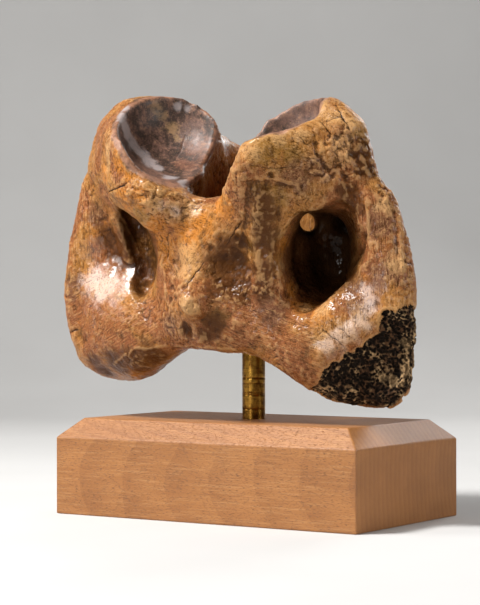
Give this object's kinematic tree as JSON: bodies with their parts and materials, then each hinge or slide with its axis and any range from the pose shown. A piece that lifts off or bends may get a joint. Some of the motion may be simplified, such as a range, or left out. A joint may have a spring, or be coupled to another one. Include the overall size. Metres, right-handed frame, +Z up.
{
  "type": "bison atlas vertebra on a rod and block mount",
  "caption": "Mineralised first neck vertebra of a bison, standing hind end down on a brass rod set in a chamfered hardwood block.",
  "frame": {"origin": "middle of the wood block's underside", "axes": "+Z up, from the bone's hind end to its front end with the two cups; +X along the block's long side, to the right of someone facing the bone's underside; +Y from the bone's underside through to its upper side, so the underside faces -Y"},
  "size_m": [0.1682, 0.1017, 0.1744],
  "materials": {
    "bone": "satin",
    "wood": "satin",
    "brass": "satin"
  },
  "bodies": {
    "root": {"atlas_vertebra": "bone", "base_block": "wood", "brass_rod": "brass", "mount_crossbar": "brass"}
  },
  "joints": []
}
